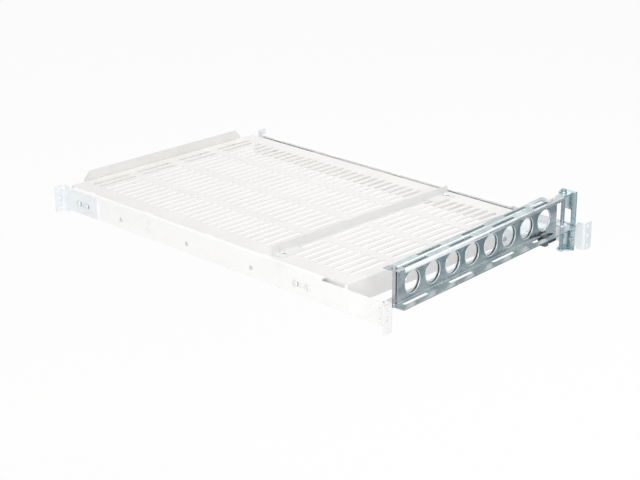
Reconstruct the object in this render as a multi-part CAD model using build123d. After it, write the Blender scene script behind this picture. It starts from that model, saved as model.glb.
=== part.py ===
from build123d import *
import math
import os

# Sliding rack shelf. Units are millimetres.
# X runs across the rack, +Y from the front posts to the rear posts, +Z up.
# The origin lies between the front posts, on their front face, at mid height of the rack unit.
# Right means +X and left means -X, as seen by someone who stands in front of the rack.

# Rack sizes
rack_depth = 730.25
panel_width = 482.6
hole_edge_margin = 8.75
hole_column_spacing = panel_width - 2 * hole_edge_margin
rack_hole_pitch = 15.875
ear_height = 43.6
ear_thickness = 2.0
ear_hole_radius = 3.5

# Deck sizes
deck_side_room = 31.3
deck_width = panel_width - 2 * deck_side_room
deck_front = -1.5
deck_rear_room = 97.25
deck_rear = rack_depth - deck_rear_room
deck_top = 17.0
deck_sheet = 1.5
deck_side_depth = 34.0
deck_front_depth = 20.0
deck_rear_depth = 35.0
deck_bend_radius = 2.0
corner_relief = 4.0

# Vent slots in the deck
slot_columns = 4
slot_width = 8.0
slot_spine = 16.0
slot_side_margin = 32.0
slot_length = (deck_width - 2 * slot_side_margin - (slot_columns - 1) * slot_spine) / slot_columns
slot_row_pitch = 15.875
first_slot_row = 21.25
last_row_margin = 20.0

# Front lip
lip_inset = 31.5
lip_length = deck_width - 2 * lip_inset
lip_height = 16.0
lip_skirt = 17.0
lip_sheet = 1.5
lip_corner = 12.0
lip_rivet_count = 5
lip_rivet_margin = 18.5
lip_rivet_spacing = (lip_length - 2 * lip_rivet_margin) / (lip_rivet_count - 1)
lip_rivet_radius = 2.0
lip_rivet_head = 3.5
lip_rivet_drop = 9.0

# Stop bar across the deck
bar_inset = 10.0
bar_length = deck_width - 2 * bar_inset
bar_from_rear = 160.7
bar_front = deck_rear - bar_from_rear
bar_height = 13.0
bar_sheet = 1.5
bar_tab_length = 50.0
bar_tab_depth = 23.5
bar_tab_corner = 9.0
bar_slot_length = 14.0
bar_slot_width = 5.5
bar_screw_inset = 13.0
bar_screw_offset = 7.7
bar_screw_radius = 2.0
bar_screw_head = 4.0
bar_screw_head_height = 2.5
bar_nut_across = 7.0
bar_nut_height = 3.2

# Telescopic slides
slide_front = 18.0
slide_from_rear = 43.0
slide_length = deck_rear - slide_from_rear - slide_front
slide_thickness = 10.7
slide_half_height = 17.8
slide_sheet = 1.2
slide_bend_radius = 0.8
slide_web_gap = 0.4
slide_closed_gap = 2.0
outer_lip_width = 8.5
middle_lip_width = 7.5
inner_lip_width = 6.8
ball_radius = 1.5
ball_clearance = 0.05
ball_count = 2
cage_width = 4.0
cage_thickness = 1.6
cage_start = 150.0
cage_length = 310.0
cage_end_margin = 15.0
cage_pocket_clearance = 0.1
outer_ball_inset = 5.5
inner_ball_inset = 4.2
stop_length = 5.6
stop_half_height = 8.0
stop_gap = 0.4
shelf_travel = 508.0

# Rails that carry the slides
rail_front = 18.0
rail_from_rear = 37.0
rail_rear = deck_rear - rail_from_rear
rail_sheet = 1.5
rail_half_height = 19.5
rail_bend_radius = 1.5
rail_top_flange = 8.7
rail_bottom_flange = 5.0
rail_tab_reach = 2.5
rail_tab_length = 20.0
rail_tab_places = (63.0, 206.0, 350.0, 475.0)
keyhole_place = 213.0
keyhole_radius = 3.5
keyhole_neck = 4.0
keyhole_reach = 12.0
keyhole_low = -6.0
rail_rivet_places = (147.0, 306.0, 450.0)
rail_rivet_radius = 2.0
rail_rivet_head = 3.6
rail_rivet_head_height = 1.0
rail_rivet_height = -3.5

# Ear brackets at the two ends of each rail
front_bracket_length = 87.0
rear_bracket_length = 219.0
bracket_top = 17.0
bracket_bottom = -18.0
bracket_bend_radius = 2.5
ear_root = 12.0
bracket_slot_width = 7.0
bracket_slot_length = 34.0
front_slot_place = 50.0
front_screw_places = (40.0, 60.0)
rear_slot_from_post = 172.25
rear_slot_place = rack_depth - rear_slot_from_post
rear_screw_reach = 13.0
rear_screw_places = (rear_slot_place - rear_screw_reach, rear_slot_place + rear_screw_reach)
bracket_screw_height = -1.5
bracket_screw_radius = 2.5
bracket_screw_head = 5.2
bracket_screw_head_height = 3.0
screw_clearance = 0.05

# Screws between the deck and the inner slide members
first_inner_screw = 60.0
last_inner_screw_margin = 63.0
last_inner_screw = deck_rear - last_inner_screw_margin
inner_screw_places = (first_inner_screw, (first_inner_screw + last_inner_screw) / 2, last_inner_screw)
inner_screw_radius = 2.0
inner_screw_head = 3.4
inner_screw_head_height = 1.6
inner_screw_length = 8.0

# Cable arm
pivot_from_rear = 32.0
elbow_side_offset = 4.5
elbow_from_rear = 3.75
arm_bottom = 13.5
arm_height = 55.5
arm_sheet = 1.5
arm_flange = 14.0
arm_lower_flange = 22.0
arm_lip = 6.0
arm_bend_radius = 1.5
arm_web_clearance = 0.15
front_arm_web_clearance = 2.0
arm_nest_clearance = 0.3
arm_hole_radius = 16.8
arm_hole_pitch = 47.2
arm_first_hole = 55.5
arm_hole_end_margin = 8.0
arm_hole_height = 24.5
arm_web_start = 20.0
arm_elbow_gap = 6.0
arm_slot_length = 56.0
arm_slot_width = 5.0
arm_lower_slot_width = 7.5
arm_lower_slot_line = 8.7
arm_slot_pitch = 106.5
arm_first_slot = 68.5
pivot_ear_radius = 8.5
pivot_pad_radius = 11.0
pivot_pad_u = 2.0
pivot_pad_v = 8.0
elbow_ear_radius = 6.0
front_arm_end_gap = 45.0
front_arm_end_offset = 8.0
front_arm_ear_radius = 7.0
front_arm_web_gap = 27.0

# Bumper and clips on the flanges of the rear arm
bumper_start = 36.0
bumper_end = 57.0
bumper_strip_end = 75.0
bumper_inner = 3.5
bumper_outer = 14.0
bumper_corner = 2.0
bumper_height = 10.0
bumper_strip_height = 3.0
clip_start = 58.0
clip_end = 67.0
clip_head_height = 1.2
clip_foot_height = 10.0
clip_foot_overhang = 1.0
top_clip_start = 42.0
top_clip_end = 56.0
top_clip_height = 4.5
top_clip_stem = 10.0

# Pins of the cable arm
rod_radius = 3.0
rod_head_radius = 4.5
rod_head_height = 2.0
pin_clearance = 0.05
elbow_pin_radius = 2.5
elbow_head_radius = 4.2
elbow_head_height = 1.5
washer_radius = 8.0
washer_thickness = 1.0
end_pin_radius = 2.5
end_pin_flange = 6.5
end_pin_spacer = 4.5
end_pin_flange_height = 1.5
running_gap = 0.2

# Bracket of the cable arm on the left rear ear bracket
arm_bracket_sheet = 2.0
arm_bracket_front_reach = 10.0
arm_bracket_rear_reach = 17.0
arm_bracket_lower_ear = -25.0
arm_bracket_ear_radius = 6.5
arm_bracket_window_width = 13.0
arm_bracket_window_height = 26.0
arm_bracket_window_low = 14.0
arm_bracket_window_offset = 2.0
arm_bracket_screw_margin = 4.6
arm_bracket_screw_height = 8.0
arm_bracket_screw_radius = 2.0
arm_bracket_screw_head = 3.8
arm_bracket_screw_head_height = 2.2
clip_radius = 5.0
clip_thickness = 1.0

# Tongue on the deck that holds the front arm
tongue_sheet = 2.0
tongue_gap = 0.3
tongue_left = 34.0
tongue_right = 26.0
tongue_overlap = 22.0
tongue_drop_margin = 9.0
tongue_bend_radius = 2.0
tongue_corner = 8.0
tongue_slot_run_x = 10.9
tongue_slot_run_y = -16.1
tongue_slot_width = 8.2
tongue_screw_spacing = 40.0
tongue_screw_radius = 2.0
tongue_screw_head = 3.6
tongue_screw_head_height = 2.2

# Places worked out from the sizes above
deck_half = deck_width / 2
pivot_x = -deck_half
elbow_x = deck_half + elbow_side_offset
slide_outside = deck_half + slide_thickness
rail_outside = slide_outside + rail_sheet
bracket_outside = rail_outside + ear_thickness
race_step = 2 * (ball_radius + ball_clearance)
outer_race = slide_half_height - slide_sheet
middle_half_height = outer_race - race_step
middle_race = middle_half_height - slide_sheet
inner_half_height = middle_race - race_step
outer_ball_height = outer_race - race_step / 2
inner_ball_height = middle_race - race_step / 2
slide_rear = slide_front + slide_length
deck_underside = deck_top - deck_sheet
arm_top = arm_bottom + arm_height
pivot_y = rack_depth - pivot_from_rear
elbow_y = rack_depth - elbow_from_rear
arm_length = math.hypot(elbow_x - pivot_x, elbow_y - pivot_y)
arm_angle = math.degrees(math.atan2(elbow_y - pivot_y, elbow_x - pivot_x))
arm_frame = Plane(
    origin=(pivot_x, pivot_y, 0),
    x_dir=(math.cos(math.radians(arm_angle)), math.sin(math.radians(arm_angle)), 0),
    z_dir=(0, 0, 1),
)
front_arm_bottom = arm_bottom + arm_sheet + arm_nest_clearance
front_arm_top = arm_top - arm_sheet - arm_nest_clearance
end_pin_place = arm_frame.from_local_coords(Vector(front_arm_end_gap, -front_arm_end_offset, 0))
tongue_top = arm_bottom - tongue_gap
arm_bracket_top = arm_top + arm_nest_clearance + arm_bracket_sheet


# Helpers

def folded(points, thickness, radius):
    """Section of a sheet folded along the middle line through the points."""
    line = FilletPolyline(*points, radius=radius)
    return trace(line, line_width=thickness)


def along_y(section, start, end):
    """Solid of an XZ section between two depths."""
    return extrude(Plane(origin=(0, start, 0), x_dir=(1, 0, 0), z_dir=(0, -1, 0)) * section, -(end - start))


def along_x(section, start, end):
    """Solid of a YZ section between two places across the rack."""
    return extrude(Plane(origin=(start, 0, 0), x_dir=(0, 1, 0), z_dir=(1, 0, 0)) * section, end - start)


def plate(outline, bottom, thickness):
    """Flat plate from an XY outline."""
    return extrude(Pos(0, 0, bottom) * outline, thickness)


def rod_x(radius, start, end, y, z):
    """Round bar along X."""
    return along_x(Pos(y, z) * Circle(radius), start, end)


def rod_y(radius, start, end, x, z):
    """Round bar along Y."""
    return along_y(Pos(x, z) * Circle(radius), start, end)


def rod_z(radius, start, end, x, y):
    """Round bar along Z."""
    return plate(Pos(x, y) * Circle(radius), start, end - start)


def region(x_low, x_high, y_low, y_high, z_low, z_high):
    """Block between two corners, used to trim sheet."""
    size = (x_high - x_low, y_high - y_low, z_high - z_low)
    centre = ((x_low + x_high) / 2, (y_low + y_high) / 2, (z_low + z_high) / 2)
    return Pos(*centre) * Box(*size)


def turned(profile_points, x, y):
    """Round piece from a profile of radius and height points."""
    outline = make_face(Plane.XZ * Polyline(*profile_points, close=True))
    return Pos(x, y, 0) * revolve(outline, Axis.Z)


def left_copy(shape):
    """The same piece on the other side of the rack."""
    return mirror(shape, about=Plane.YZ)


# Shelf

def slot_rows():
    """Depths of the rows of vent slots."""
    room = deck_rear - last_row_margin - slot_width / 2 - first_slot_row
    count = int(room // slot_row_pitch) + 1
    return [first_slot_row + row * slot_row_pitch for row in range(count)]


def vent_slots():
    """All the vent slots as one set of bars to cut from the deck."""
    column_pitch = slot_length + slot_spine
    first_column = -(slot_columns - 1) / 2 * column_pitch
    outline = Sketch()
    for row_y in slot_rows():
        for column in range(slot_columns):
            outline += Pos(first_column + column * column_pitch, row_y) * Rectangle(slot_length, slot_width)
    return extrude(Pos(0, 0, deck_underside - deck_sheet) * outline, 3 * deck_sheet)


def deck():
    """Slotted tray with sides that fold down over the slides."""
    middle = deck_top - deck_sheet / 2
    edge = deck_half - deck_sheet / 2
    foot = deck_top - deck_side_depth
    hat = [(-edge, foot), (-edge, middle), (edge, middle), (edge, foot)]
    section = folded(hat, deck_sheet, deck_bend_radius)
    tray = along_y(section, deck_front + corner_relief, deck_rear - corner_relief)
    inside = deck_half - corner_relief
    front_y = deck_front + deck_sheet / 2
    front_foot = deck_top - deck_front_depth
    front = [(deck_front + 2 * corner_relief, middle), (front_y, middle), (front_y, front_foot)]
    tray += along_x(folded(front, deck_sheet, deck_bend_radius), -inside, inside)
    rear_y = deck_rear - deck_sheet / 2
    rear = [(deck_rear - 2 * corner_relief, middle), (rear_y, middle), (rear_y, deck_top - deck_rear_depth)]
    tray += along_x(folded(rear, deck_sheet, deck_bend_radius), -inside, inside)
    tray -= vent_slots()
    for side in (-1, 1):
        low, high = deck_underside - deck_sheet, deck_top + deck_sheet
        tray -= rod_z(bar_screw_radius + screw_clearance, low, high, side * bar_screw_x, bar_screw_y)
        for y in inner_screw_places:
            hole = inner_screw_radius + screw_clearance
            tray -= rod_x(hole, side * (deck_half - 2 * deck_sheet), side * (deck_half + deck_sheet), y, 0)
    for x in lip_rivet_xs():
        tray -= rod_y(lip_rivet_radius + screw_clearance, deck_front - deck_sheet, deck_front + 2 * deck_sheet,
                      x, deck_top - lip_rivet_drop)
    for x in tongue_screw_xs():
        tray -= rod_y(tongue_screw_radius + screw_clearance, deck_rear - 2 * deck_sheet, deck_rear + deck_sheet,
                      x, tongue_screw_z)
    return tray


def lip_rivet_xs():
    """Places of the lip rivets across the deck."""
    first = -(lip_rivet_count - 1) / 2 * lip_rivet_spacing
    return [first + number * lip_rivet_spacing for number in range(lip_rivet_count)]


def front_lip():
    """Upright strip with bevelled top corners on the front flange of the deck."""
    half = lip_length / 2
    low = deck_top - lip_skirt
    high = deck_top + lip_height
    outline = Polyline(
        (-half, low), (half, low), (half, high - lip_corner), (half - lip_corner, high),
        (-half + lip_corner, high), (-half, high - lip_corner), close=True,
    )
    strip = along_y(make_face(outline), deck_front - lip_sheet, deck_front)
    for x in lip_rivet_xs():
        strip -= rod_y(lip_rivet_radius + screw_clearance, deck_front - 2 * lip_sheet, deck_front + lip_sheet,
                       x, deck_top - lip_rivet_drop)
    return strip


def lip_rivets():
    """Rivets that hold the lip to the deck."""
    rivets = []
    for x in lip_rivet_xs():
        z = deck_top - lip_rivet_drop
        front = deck_front - lip_sheet
        back = deck_front + deck_sheet
        shank = rod_y(lip_rivet_radius, front, back, x, z)
        heads = rod_y(lip_rivet_head, front - rail_rivet_head_height, front, x, z)
        heads += rod_y(lip_rivet_head, back, back + rail_rivet_head_height, x, z)
        rivets.append(shank + heads)
    return Compound(rivets)


# The bar's screws sit at the front ends of the slots in its tabs.
bar_screw_x = bar_length / 2 - bar_screw_inset
bar_screw_y = bar_front + bar_screw_offset


def stop_bar():
    """Upright bar with a rounded, slotted tab folded back at each end."""
    half = bar_length / 2
    upright = bar_front + bar_sheet / 2
    foot = deck_top + bar_sheet / 2
    angle = [(bar_front + bar_tab_depth, foot), (upright, foot), (upright, deck_top + bar_height)]
    section = folded(angle, bar_sheet, bar_sheet)
    bar = along_x(section, -half, half)
    inner = half - bar_tab_length
    behind = bar_front + bar_sheet
    bar -= region(-inner, inner, behind, bar_front + 2 * bar_tab_depth, deck_top, deck_top + bar_height)
    for side in (-1, 1):
        centre_x = side * (half - bar_tab_length / 2)
        centre_y = bar_front + bar_tab_depth / 2
        tab = Pos(centre_x, centre_y) * Rectangle(bar_tab_length, bar_tab_depth)
        rear_corners = tab.vertices().sort_by(Axis.Y)[-2:]
        rounded = fillet(rear_corners, bar_tab_corner)
        corners = plate(tab - rounded, deck_top - bar_sheet, 3 * bar_sheet)
        bar -= corners
        slot_y = bar_screw_y + (bar_slot_length - bar_slot_width) / 2
        slot = Pos(side * bar_screw_x, slot_y) * SlotOverall(bar_slot_length, bar_slot_width, rotation=90)
        bar -= plate(slot, deck_top - bar_sheet, 3 * bar_sheet)
    return bar


def bar_screws():
    """Pan head screws through the tabs of the stop bar."""
    screws = []
    for side in (-1, 1):
        seat = deck_top + bar_sheet
        end = deck_underside - 2 * bar_nut_height
        crown = seat + bar_screw_head_height
        edge = bar_screw_head_height / 2
        profile = [
            (0, end), (bar_screw_radius, end), (bar_screw_radius, seat), (bar_screw_head, seat),
            (bar_screw_head, seat + edge), (bar_screw_head - edge, crown), (0, crown),
        ]
        screws.append(turned(profile, side * bar_screw_x, bar_screw_y))
    return Compound(screws)


def bar_nuts():
    """Hexagon nuts under the deck for the screws of the stop bar."""
    nuts = []
    for side in (-1, 1):
        outline = RegularPolygon(bar_nut_across / 2, 6, major_radius=False)
        outline -= Circle(bar_screw_radius + screw_clearance)
        place = Pos(side * bar_screw_x, bar_screw_y)
        nuts.append(plate(place * outline, deck_underside - bar_nut_height, bar_nut_height))
    return Compound(nuts)


# Slides, built for the right side

def outer_member():
    """Fixed slide member, a channel that opens towards the deck."""
    web = slide_outside - slide_sheet / 2
    lip = slide_outside - outer_lip_width
    height = slide_half_height - slide_sheet / 2
    points = [(lip, height), (web, height), (web, -height), (lip, -height)]
    member = along_y(folded(points, slide_sheet, slide_bend_radius), slide_front, slide_rear + stop_length)
    for y in rail_rivet_places:
        member -= rod_x(rail_rivet_radius + screw_clearance, web - slide_sheet, web + slide_sheet,
                        y, rail_rivet_height)
    for y in front_screw_places + rear_screw_places:
        member -= rod_x(bracket_screw_radius + screw_clearance, web - slide_sheet, web + slide_sheet,
                        y, bracket_screw_height)
    return member


def middle_member():
    """Slide member that runs between the other two."""
    web = slide_outside - slide_sheet - slide_web_gap - slide_sheet / 2
    lip = web + slide_sheet / 2 - middle_lip_width
    height = middle_half_height - slide_sheet / 2
    points = [(lip, height), (web, height), (web, -height), (lip, -height)]
    section = folded(points, slide_sheet, slide_bend_radius)
    return along_y(section, slide_front + slide_closed_gap, slide_rear - slide_closed_gap)


def inner_member():
    """Slide member fixed to the side of the deck, a channel that opens outwards."""
    web = deck_half + slide_sheet / 2
    lip = deck_half + inner_lip_width
    height = inner_half_height - slide_sheet / 2
    points = [(lip, height), (web, height), (web, -height), (lip, -height)]
    section = folded(points, slide_sheet, slide_bend_radius)
    member = along_y(section, slide_front + slide_closed_gap, slide_rear - slide_closed_gap)
    hole = inner_screw_radius + screw_clearance
    for y in inner_screw_places:
        member -= rod_x(hole, deck_half - slide_sheet, deck_half + 2 * slide_sheet, y, 0)
    return member


def inner_screws():
    """Pan head screws that hold the inner member to the deck."""
    screws = []
    for y in inner_screw_places:
        seat = deck_half + slide_sheet
        screw = rod_x(inner_screw_radius, seat - inner_screw_length, seat, y, 0)
        head = rod_x(inner_screw_head, seat, seat + inner_screw_head_height, y, 0)
        top_edge = head.edges().sort_by(Axis.X)[-1]
        screws.append(screw + chamfer(top_edge, inner_screw_head_height / 3))
    return Compound(screws)


def ball_ys():
    """Depths of the balls in a cage."""
    first = cage_start + cage_end_margin
    step = (cage_length - 2 * cage_end_margin) / (ball_count - 1)
    return [first + number * step for number in range(ball_count)]


def cages(x, height):
    """Upper and lower ball cage strips of one race pair."""
    strips = []
    for side in (-1, 1):
        outline = Pos(x, cage_start + cage_length / 2) * Rectangle(cage_width, cage_length)
        for y in ball_ys():
            outline -= Pos(x, y) * Circle(ball_radius + cage_pocket_clearance)
        strips.append(plate(outline, side * height - cage_thickness / 2, cage_thickness))
    return Compound(strips)


def balls(x, height):
    """Balls in both strips of one race pair."""
    spheres = []
    for side in (-1, 1):
        for y in ball_ys():
            spheres.append(Pos(x, y, side * height) * Sphere(ball_radius))
    return Compound(spheres)


def closing_stop():
    """Soft block in the outer member that the other members close against."""
    inside = slide_outside - slide_sheet
    front = slide_rear - slide_closed_gap + stop_gap
    block = region(deck_half + slide_sheet, inside, front, slide_rear + stop_length,
                   -stop_half_height, stop_half_height)
    return fillet(block.edges().filter_by(Axis.Z), slide_sheet)


# Rails and ear brackets, built for the right side

def rail():
    """Long channel around the slide, with tabs on its top flange."""
    web = rail_outside - rail_sheet / 2
    height = rail_half_height - rail_sheet / 2
    points = [
        (rail_outside - rail_top_flange, height), (web, height),
        (web, -height), (rail_outside - rail_bottom_flange, -height),
    ]
    body = along_y(folded(points, rail_sheet, rail_bend_radius), rail_front, rail_rear)
    for y in rail_tab_places:
        reach = rail_tab_reach + rail_sheet
        centre_x = rail_outside - rail_top_flange - rail_tab_reach + reach / 2
        tab = Pos(centre_x, y) * Rectangle(reach, rail_tab_length)
        body += plate(tab, rail_half_height - rail_sheet, rail_sheet)
    cut = 2 * rail_sheet
    keyhole = Pos(keyhole_place, keyhole_low) * Circle(keyhole_radius)
    neck = Pos(keyhole_place, keyhole_low + keyhole_reach / 2) * Rectangle(keyhole_neck, keyhole_reach)
    tip = Pos(keyhole_place, keyhole_low + keyhole_reach) * Circle(keyhole_neck / 2)
    body -= along_x(keyhole + neck + tip, web - cut, web + cut)
    for y in rail_rivet_places:
        body -= rod_x(rail_rivet_radius + screw_clearance, web - cut, web + cut, y, rail_rivet_height)
    for y in front_screw_places + rear_screw_places:
        body -= rod_x(bracket_screw_radius + screw_clearance, web - cut, web + cut, y, bracket_screw_height)
    return body


def rail_rivets():
    """Rivets between the rail and the outer slide member."""
    rivets = []
    for y in rail_rivet_places:
        rivet = rod_x(rail_rivet_radius, slide_outside - slide_sheet, rail_outside, y, rail_rivet_height)
        head = rod_x(rail_rivet_head, rail_outside, rail_outside + rail_rivet_head_height, y, rail_rivet_height)
        outer_edge = head.edges().sort_by(Axis.X)[-1]
        rivets.append(rivet + chamfer(outer_edge, rail_rivet_head_height / 2))
    return Compound(rivets)


def ear_bracket(seat, outward, length, slot_place):
    """Folded bracket whose ear bolts to a rack post; seat is the post's face."""
    ear_middle = seat + outward * ear_thickness / 2
    web = rail_outside + ear_thickness / 2
    inner_end = seat - outward * length
    points = [(web, inner_end), (web, ear_middle), (panel_width / 2, ear_middle)]
    bracket = plate(folded(points, ear_thickness, bracket_bend_radius), -ear_height / 2, ear_height)
    trim_start = seat - outward * ear_root
    low_y, high_y = sorted((trim_start, inner_end))
    inside, outside = rail_outside, bracket_outside
    bracket -= region(inside, outside, low_y, high_y, bracket_top, ear_height)
    bracket -= region(inside, outside, low_y, high_y, -ear_height, bracket_bottom)
    for step in (-1, 0, 1):
        z = step * rack_hole_pitch
        low, high = sorted((seat - outward * ear_thickness, seat + 2 * outward * ear_thickness))
        bracket -= rod_y(ear_hole_radius, low, high, hole_column_spacing / 2, z)
    slot = Pos(slot_place, bracket_screw_height) * SlotOverall(bracket_slot_length, bracket_slot_width)
    bracket -= along_x(slot, inside - ear_thickness, outside + ear_thickness)
    return bracket


def rear_ear_bracket():
    """Rear bracket with the holes for a cable arm bracket, which fits either side."""
    bracket = ear_bracket(rack_depth, 1, rear_bracket_length, rear_slot_place)
    for y in arm_bracket_screw_ys():
        for z in (-arm_bracket_screw_height, arm_bracket_screw_height):
            bracket -= rod_x(arm_bracket_screw_radius + screw_clearance, rail_outside - ear_thickness,
                             bracket_outside + ear_thickness, y, z)
    return bracket


def bracket_screws():
    """Wide pan head screws that clamp both ear brackets of a side."""
    screws = []
    for y in front_screw_places + rear_screw_places:
        z = bracket_screw_height
        shank = rod_x(bracket_screw_radius, slide_outside - slide_sheet, bracket_outside, y, z)
        head = rod_x(bracket_screw_head, bracket_outside, bracket_outside + bracket_screw_head_height, y, z)
        outer_edge = head.edges().sort_by(Axis.X)[-1]
        screws.append(shank + chamfer(outer_edge, bracket_screw_head_height / 3))
    return Compound(screws)


# Cable arm

def arm_channel(start, end, bottom, top, back, upper, lower):
    """Channel of an arm; back, upper and lower are the signed distances of its web and flange edges."""
    side = math.copysign(1, upper)
    web = back + side * arm_sheet / 2
    lip = upper - side * arm_sheet / 2
    high = top - arm_sheet / 2
    low = bottom + arm_sheet / 2
    points = [(lip, top - arm_lip), (lip, high), (web, high), (web, low), (lower, low)]
    return along_x(folded(points, arm_sheet, arm_bend_radius), start, end)


def arm_ear(pin_u, pin_v, radius, joint_u, edge, bottom):
    """Rounded end of a flange around a pin; edge is the flange's edge and joint_u its start on the channel."""
    low_u, high_u = sorted((pin_u, joint_u))
    low_v, high_v = sorted((pin_v, edge))
    tail = Pos((low_u + high_u) / 2, (low_v + high_v) / 2) * Rectangle(high_u - low_u, high_v - low_v)
    shoulder = Pos(pin_u, (pin_v + edge) / 2) * Rectangle(2 * radius, abs(edge - pin_v))
    outline = Pos(pin_u, pin_v) * Circle(radius)
    outline += tail
    outline += shoulder
    return plate(outline, bottom, arm_sheet)


def arm_slots(first, middle, width, bottom):
    """Row of slots in a flange for cable ties."""
    room = arm_length - elbow_ear_radius - arm_slot_length / 2 - first
    outline = Sketch()
    for number in range(int(room // arm_slot_pitch) + 1):
        centre = first + number * arm_slot_pitch
        outline += Pos(centre, middle) * SlotOverall(arm_slot_length, width)
    return extrude(Pos(0, 0, bottom - arm_sheet) * outline, 3 * arm_sheet)


def arm_web_holes(first):
    """Row of round holes through the web of an arm."""
    room = arm_length - arm_elbow_gap - arm_hole_radius - arm_hole_end_margin - first
    outline = Sketch()
    for number in range(int(room // arm_hole_pitch) + 1):
        outline += Pos(first + number * arm_hole_pitch, arm_bottom + arm_hole_height) * Circle(arm_hole_radius)
    reach = arm_flange / 2
    return extrude(Plane(origin=(0, -reach, 0), x_dir=(1, 0, 0), z_dir=(0, -1, 0)) * outline, -2 * reach)


def rear_arm():
    """Arm between the bracket on the rack and the elbow; its channel opens to the rear."""
    web_end = arm_length - arm_elbow_gap
    upper = arm_web_clearance + arm_flange
    lower = arm_web_clearance + arm_lower_flange
    arm = arm_channel(arm_web_start, web_end, arm_bottom, arm_top, arm_web_clearance, upper, lower)
    joint = arm_web_start + arm_sheet
    for bottom, edge in ((arm_bottom, lower), (arm_top - arm_sheet, upper)):
        arm += arm_ear(0, 0, pivot_ear_radius, joint, edge - arm_sheet, bottom)
        arm += arm_ear(arm_length, 0, elbow_ear_radius, web_end - arm_sheet, edge, bottom)
    arm += plate(Pos(pivot_pad_u, pivot_pad_v) * Circle(pivot_pad_radius), arm_bottom, arm_sheet)
    arm -= arm_web_holes(arm_first_hole)
    arm -= arm_slots(arm_first_slot, arm_lower_slot_line, arm_lower_slot_width, arm_bottom)
    arm -= arm_slots(arm_first_slot, arm_web_clearance + arm_flange / 2, arm_slot_width, arm_top - arm_sheet)
    arm -= rod_z(rod_radius + pin_clearance, arm_bottom - arm_sheet, arm_top + arm_sheet, 0, 0)
    arm -= rod_z(elbow_pin_radius + pin_clearance, arm_bottom - arm_sheet, arm_top + arm_sheet, arm_length, 0)
    return arm_frame * arm


def front_arm():
    """Arm between the elbow and the deck; its channel opens to the front."""
    web_end = arm_length - arm_elbow_gap
    web_start = front_arm_end_gap + front_arm_web_gap
    edge = -(front_arm_web_clearance + arm_flange)
    arm = arm_channel(web_start, web_end, front_arm_bottom, front_arm_top, -front_arm_web_clearance, edge, edge)
    for bottom in (front_arm_bottom, front_arm_top - arm_sheet):
        end_v = -front_arm_end_offset
        arm += arm_ear(front_arm_end_gap, end_v, front_arm_ear_radius, web_start + arm_sheet, edge, bottom)
        arm += arm_ear(arm_length, 0, elbow_ear_radius - arm_sheet, web_end - arm_sheet, edge, bottom)
    arm -= arm_web_holes(arm_first_hole + arm_hole_pitch)
    first = arm_first_slot + arm_slot_pitch / 2
    middle = edge + arm_flange / 2
    for bottom in (front_arm_bottom, front_arm_top - arm_sheet):
        arm -= arm_slots(first, middle, arm_slot_width, bottom)
    low, high = front_arm_bottom - arm_sheet, front_arm_top + arm_sheet
    arm -= rod_z(elbow_pin_radius + pin_clearance, low, high, arm_length, 0)
    rivet_top = front_arm_bottom + 2 * arm_sheet
    arm -= rod_z(end_pin_radius, low, rivet_top, front_arm_end_gap, -front_arm_end_offset)
    return arm_frame * arm


def clip_stem_section(clearance):
    """Outline of the clip's stem through the lower slot of the rear arm."""
    length = clip_end - clip_start - 2 * clip_foot_overhang + 2 * clearance
    width = arm_lower_slot_width - 2 * pin_clearance - 2 * screw_clearance + 2 * clearance
    return Pos((clip_start + clip_end) / 2, arm_lower_slot_line) * Rectangle(length, width)


def arm_bumper():
    """Soft block with a thin strip, under the lower flange of the rear arm."""
    bumper = None
    for end, height in ((bumper_strip_end, bumper_strip_height), (bumper_end, bumper_height)):
        centre = Pos((bumper_start + end) / 2, (bumper_inner + bumper_outer) / 2)
        outline = centre * RectangleRounded(end - bumper_start, bumper_outer - bumper_inner, bumper_corner)
        layer = plate(outline, arm_bottom - height, height)
        bumper = layer if bumper is None else bumper + layer
    bumper -= plate(clip_stem_section(screw_clearance), arm_bottom - bumper_height, 2 * bumper_height)
    return arm_frame * bumper


def bumper_clip():
    """Clip through the flange's slot that holds the bumper."""
    flange_top = arm_bottom + arm_sheet
    foot = arm_bottom - bumper_strip_height
    clip = plate(clip_stem_section(0), foot, flange_top - foot)
    head = Pos((clip_start + clip_end) / 2, arm_lower_slot_line) * Rectangle(
        clip_end - clip_start, arm_lower_slot_width + 2 * clip_foot_overhang)
    clip += plate(head, flange_top, clip_head_height)
    clip += plate(head, foot - clip_foot_height, clip_foot_height)
    return arm_frame * clip


def top_clip():
    """Cable tie block on the upper flange of the rear arm, with its stem in the slot."""
    middle = arm_web_clearance + arm_flange / 2
    centre_u = (top_clip_start + top_clip_end) / 2
    width = arm_slot_width + 2 * clip_foot_overhang
    head = Pos(centre_u, middle) * Rectangle(top_clip_end - top_clip_start, width)
    stem = Pos(centre_u, middle) * Rectangle(top_clip_stem, arm_slot_width - 2 * screw_clearance)
    tie_room = Pos(centre_u, middle) * Rectangle(top_clip_stem / 2, arm_flange)
    clip = plate(head, arm_top, top_clip_height)
    clip -= plate(tie_room, arm_top + clip_head_height, top_clip_height - 2 * clip_head_height)
    clip += plate(stem, arm_top - arm_sheet, arm_sheet)
    return arm_frame * clip


def elbow_pin():
    """Riveted pin through the ears of both arms."""
    low = arm_bottom - running_gap
    high = arm_top + running_gap
    profile = [
        (0, low - elbow_head_height), (elbow_head_radius, low - elbow_head_height), (elbow_head_radius, low),
        (elbow_pin_radius, low), (elbow_pin_radius, high), (elbow_head_radius, high),
        (elbow_head_radius, high + elbow_head_height), (0, high + elbow_head_height),
    ]
    return turned(profile, elbow_x, elbow_y)


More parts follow.
